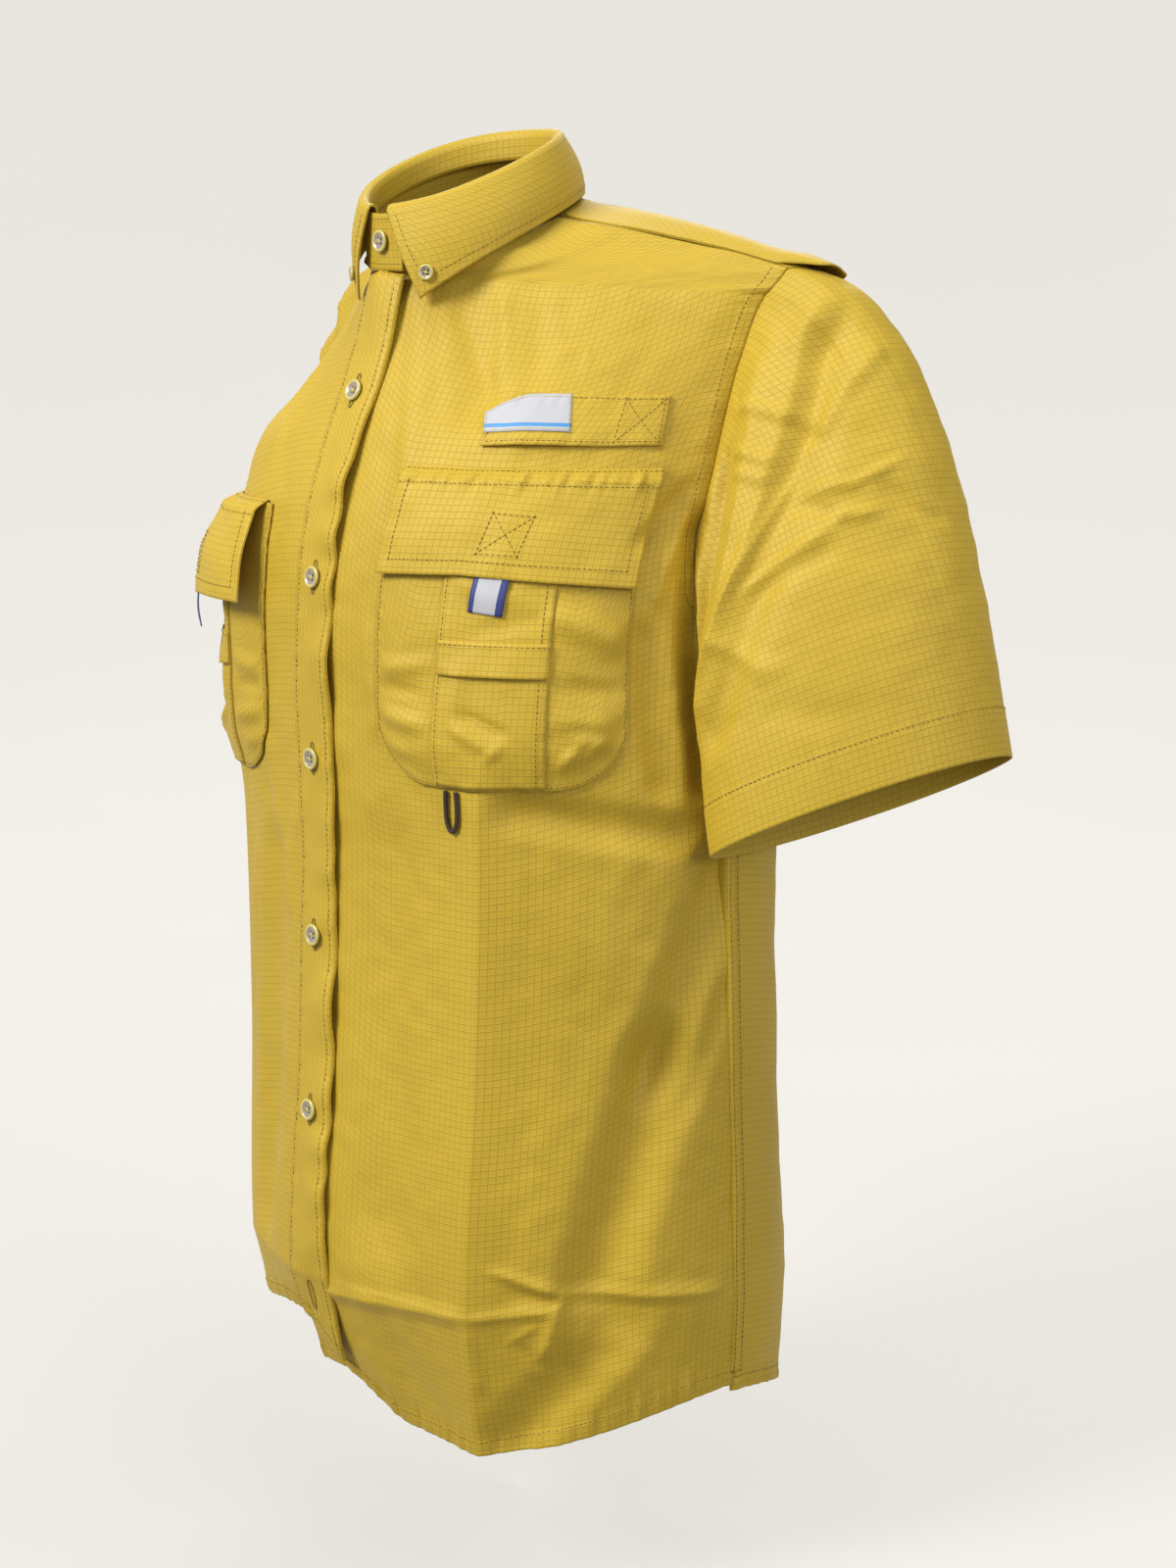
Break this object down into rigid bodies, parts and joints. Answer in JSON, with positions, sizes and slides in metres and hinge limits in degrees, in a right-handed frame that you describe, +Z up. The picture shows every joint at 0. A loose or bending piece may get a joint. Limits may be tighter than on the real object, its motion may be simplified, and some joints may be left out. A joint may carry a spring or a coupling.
{
  "type": "short-sleeved utility shirt",
  "caption": "Hollow worn short-sleeved field shirt with a buttoned front, two flapped chest pockets, a button-down collar and a loose back cape.",
  "frame": {"origin": "middle of the neck opening, level with the points where the shoulders meet the neck", "axes": "+Z up the wearer's body, -Y out of the front, +X towards the wearer's left"},
  "size_m": [0.675, 0.3034, 0.7824],
  "materials": {
    "cloth": "light yellow ripstop nylon, slight sheen",
    "button": "dyed-to-match four-hole buttons",
    "label": "white woven label",
    "cord": "dark elastic cord"
  },
  "bodies": {
    "root": {"front_left": "cloth", "front_right": "cloth", "placket": "cloth", "back": "cloth", "cape": "cloth", "sleeve_left": "cloth", "sleeve_right": "cloth", "collar_stand": "cloth", "collar_leaf": "cloth", "pocket_left": "cloth", "pocket_strip_left": "cloth", "pocket_band_left": "cloth", "pocket_flap_left": "cloth", "tab_left": "label", "pocket_right": "cloth", "pocket_strip_right": "cloth", "pocket_band_right": "cloth", "pocket_flap_right": "cloth", "tab_right": "label", "strap": "cloth", "label": "label", "button_1": "button", "button_2": "button", "button_3": "button", "button_4": "button", "button_5": "button", "button_neck": "button", "button_tip_left": "button", "button_tip_right": "button", "cord_loop": "cord"}
  },
  "joints": []
}
